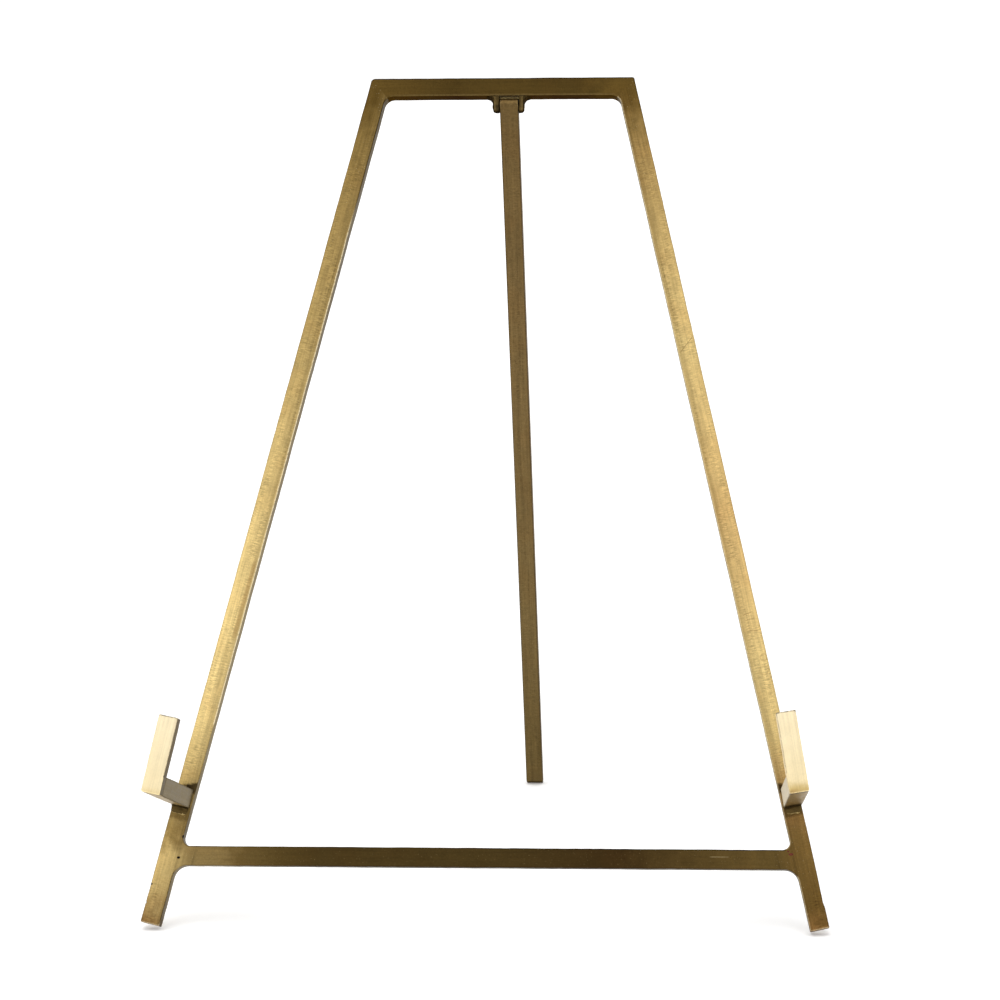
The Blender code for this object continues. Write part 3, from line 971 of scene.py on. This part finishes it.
def build_materials():
    """Every finish. A bar's flanks share its face's patina and reflect more of the room at a glance, but their
    tones are scaled darker as painted shade, or lighter as painted light on the strut.
    """
    made = {}
    cross_ends = {"left": patina(1.95, 0.1), "right": patina(1.15, 0.1)}

    def bar(key, tones_along, length, bright_colour, rim, flank_rim, flank_painted_light, dull=0.0, flank_strokes=(), **finish):
        """Both finishes of a bar: its face, and its flanks as a copy whose tones are scaled darker as painted
        shade, or lighter as painted light. The tones along it list places in mm, each with its polish and any
        copper.
        """
        stops = [(distance, patina(polish, dull, *copper)) for distance, polish, *copper in tones_along]
        made[key] = brass(key + "_patina", stops, length, bright_colour, rim=rim, **finish)
        # The flank copy: the same tones scaled by the flank factor, darker as painted shade and above 1 lighter
        # as painted light
        finish.update(stains=(), rings=(), strokes=flank_strokes, rim=flank_rim, light=flank_painted_light)
        made[key + "_flank"] = brass(key + "_flank_patina_and_painted_light", stops, length, bright_colour, **finish)

    # Legs: dark at the top corner, bright down to the ledge, browned by its brazing and darker at the foot.
    # The bright stretch is partly rubbed patina and partly a painted reflection of a softbox.
    bar("left", [(0, 1.0), (8, 1.0), (26, 1.7), (90, 2.3), (180, 3.0), (225, 3.0), (262, 1.9), (271, 2.7),
                 (278, 2.6), (297, 1.4, 1.0)],
        300, patina(4), across_shift=-0.05, hatch=0.26, streak=0.12, mottle=0.08, brown=0.2,
        rim=0.42, flank_rim=0.62, flank_painted_light=0.5, stub=cross_ends["left"],
        # The first dark band, just above the hook's arm, is a painted contact shadow; the second darkens the
        # leg below the arm
        stains=[(246.6, 2.6, patina(0.25, copper=2), 0.95, 0.42), (255.4, 3.0, patina(1.2), 0.7, 0.0)],
        strokes=[(168, 2.0, 198, 1.8, 0.9, patina(2.1, copper=0.7), 0.55),
                 (196, 0.4, 214, 1.2, 0.6, patina(2.4), 0.4),
                 (2, 3.1, 60, 3.1, 0.35, patina(0.55), 0.6)])
    bar("right", [(0, 1.0), (8, 1.1), (26, 2.1, 0.2), (95, 2.8), (160, 2.7, 0.3), (205, 2.9), (228, 2.8),
                  (250, 2.1, 0.7), (262, 1.5, 0.2), (284, 1.2, 0.3), (298, 2.1, 1.0)],
        300, patina(3.8), across_shift=-0.03, hatch=0.26, streak=0.12, mottle=0.08, brown=0.2,
        rim=0.5, flank_rim=0.6, flank_painted_light=0.6, stub=cross_ends["right"],
        # The first dark band, just above the hook's arm, is a painted contact shadow; the second darkens the
        # leg below the arm
        stains=[(244.8, 2.4, patina(0.4, copper=2), 0.95, 0.5), (252.6, 2.6, patina(0.85), 0.7, 0.0)],
        strokes=[(187, -1.6, 187.6, 1.8, 0.16, patina(1.75, copper=1), 0.6),
                 (189.2, -2.0, 189.4, 1.4, 0.14, patina(1.85, copper=0.8), 0.5),
                 (193.4, -2.2, 193.0, 0.6, 0.18, patina(1.75, copper=1), 0.6),
                 (97.5, 2.9, 92.5, -2.9, 0.14, patina(1.4, copper=0.4), 0.7)],
        rings=[(202.4, -1.9, 1.1, patina(2.4, copper=0.5), 0.45),
               (206.6, -1.0, 1.4, patina(2.45, copper=0.4), 0.4)])

    # Rails and strut: kept dark in the middle, where nothing rubs them
    bar("rail", [(66, 1.0), (92, 0.8), (110, 0.85), (136, 0.8), (149, 1.0)],
        200, patina(1.65, 0.1), mottle=0.09, brown=0.15, rim=0.25, flank_rim=0.35, flank_painted_light=0.8,
        # The bright stretch on the rail's underside over the hinge is painted light, lifting the shade in the
        # gap between the ears
        flank_strokes=[(107, -3.2, 118, -3.2, 1.5, patina(3.1), 1.0)],
        strokes=[(60, 3.2, 160, 3.2, 0.6, patina(0.2, copper=2), 0.9),
                 (70, -2.8, 152, -2.8, 0.4, patina(1.35, 0.2), 0.4)])
    bar("cross", [(15, 1.95), (23, 1.85), (30, 1.3), (42, 0.95), (55, 0.8), (110, 0.8),
                  (150, 0.7, 0.6), (200, 1.15)],
        220, patina(2.05, 0.3), dull=0.1, specks=0.6, mottle=0.10, brown=0.2,
        rim=0.3, flank_rim=0.5, flank_painted_light=0.9,
        strokes=[(180.5, 0.72, 187.2, 0.72, 0.24, patina(2.05, 0.3), 0.7),
                 (104, 3.2, 200, 3.2, 0.45, patina(0.15, copper=2), 0.9)])
    bar("strut", [(5, 1.3, 0.3), (90, 1.55, 0.3), (210, 1.45, 0.1), (262, 1.2), (282, 1.35)],
        290, patina(2.3, 0.3), dull=0.2, streak=0.13, hatch=0.14, brown=0.2, roughness=0.46, mottle=0.12,
        light=0.97, rim=0.3, flank_rim=0.6, flank_painted_light=1.1,
        strokes=[(0, 3.2, 280, 3.2, 0.5, patina(0.4, copper=1), 0.6),
                 (0, -3.2, 110, -3.2, 0.5, patina(0.45), 0.6),
                 (100, -3.1, 280, -3.1, 0.5, patina(1.9, 0.6), 0.6)])

    # Hooks: pale lips, and arms whose sides and undersides are plainer
    hooks = {
        "left": dict(arm=patina(2.0, 0.4), rim=0.55, side=(patina(1.5, 0.4), patina(1.35, 0.2)),
                     under=(patina(2.0, 0.1), patina(2.2, 0.1)),
                     lip=[(0, patina(3.4)), (2, patina(3.8)), (26, patina(4))]),
        "right": dict(arm=patina(2.7, 0.3), rim=0.9, side=(patina(2.85, 0.1), patina(3.3)),
                      under=(patina(1.3, 0.1), patina(2.05)),
                      lip=[(0, patina(2.35, copper=0.5)), (1.4, patina(2.85)), (4, patina(3.75)),
                           (26, patina(4))]),
    }
    for side, look in hooks.items():
        low, high = look["side"]
        near, far = look["under"]
        made[side + "_arm"] = brass(side + "_arm_patina", [(0, look["arm"]), (60, look["arm"])], 60,
                                    patina(2.7, 0.1), specks=0.1, rim=look["rim"], brown=0.1, mottle=0.07,
                                    hatch=0.04)
        made[side + "_side"] = brass(side + "_lip_side_patina", [(5.8, low), (6.8, high), (30, high)], 30,
                                     patina(2.85, 0.1), specks=0.0, rim=look["rim"], brown=0.1, mottle=0.06)
        made[side + "_under"] = brass(side + "_underside_patina", [(0, near), (14, far), (60, far)], 60,
                                      patina(2.9, 0.1), rim=0.8, mottle=0.08, brown=0.1)
        made[side + "_lip"] = brass(side + "_lip_patina", look["lip"], 30, FRESH_EDGE, mottle=0.025,
                                    streak=0.05, hatch=0.0, brown=0.12, specks=0.0, roughness=0.36,
                                    across_shift=-0.006, rim=0.4, drift=0.7)
    made["braze"] = brass("braze_patina", [(0, patina(0.95, 0.2)), (10, patina(1.1, 0.15))], 10,
                          patina(2.75), mottle=0.12, specks=0.1, roughness=0.5)
    made["ear"] = brass("ear_patina", [(6, patina(0.7, 0.3)), (9, patina(1.1, 0.2)), (13, patina(0.9, 0.2))],
                        20, patina(1.95, 0.1), mottle=0.1, rim=0.35, brown=0.1)
    made["pin"] = brass("pin_patina", [(0, patina(1.35, 0.2)), (20, patina(1.35, 0.2))], 20, patina(2.3, 0.2))
    made["black_flux"] = flux("black_flux", (20, 13, 8))
    made["red_flux"] = flux("red_flux", (136, 66, 50))
    return made


def main():
    bpy.context.scene.view_settings.view_transform = "Standard"
    materials = build_materials()
    build_frame(materials)
    for side in SIDE:
        build_hook(side, materials)
        build_ear(side, materials["ear"])
    build_pin(materials["pin"])
    build_strut(materials)
    build_floor()
    build_light()
    build_camera()


main()
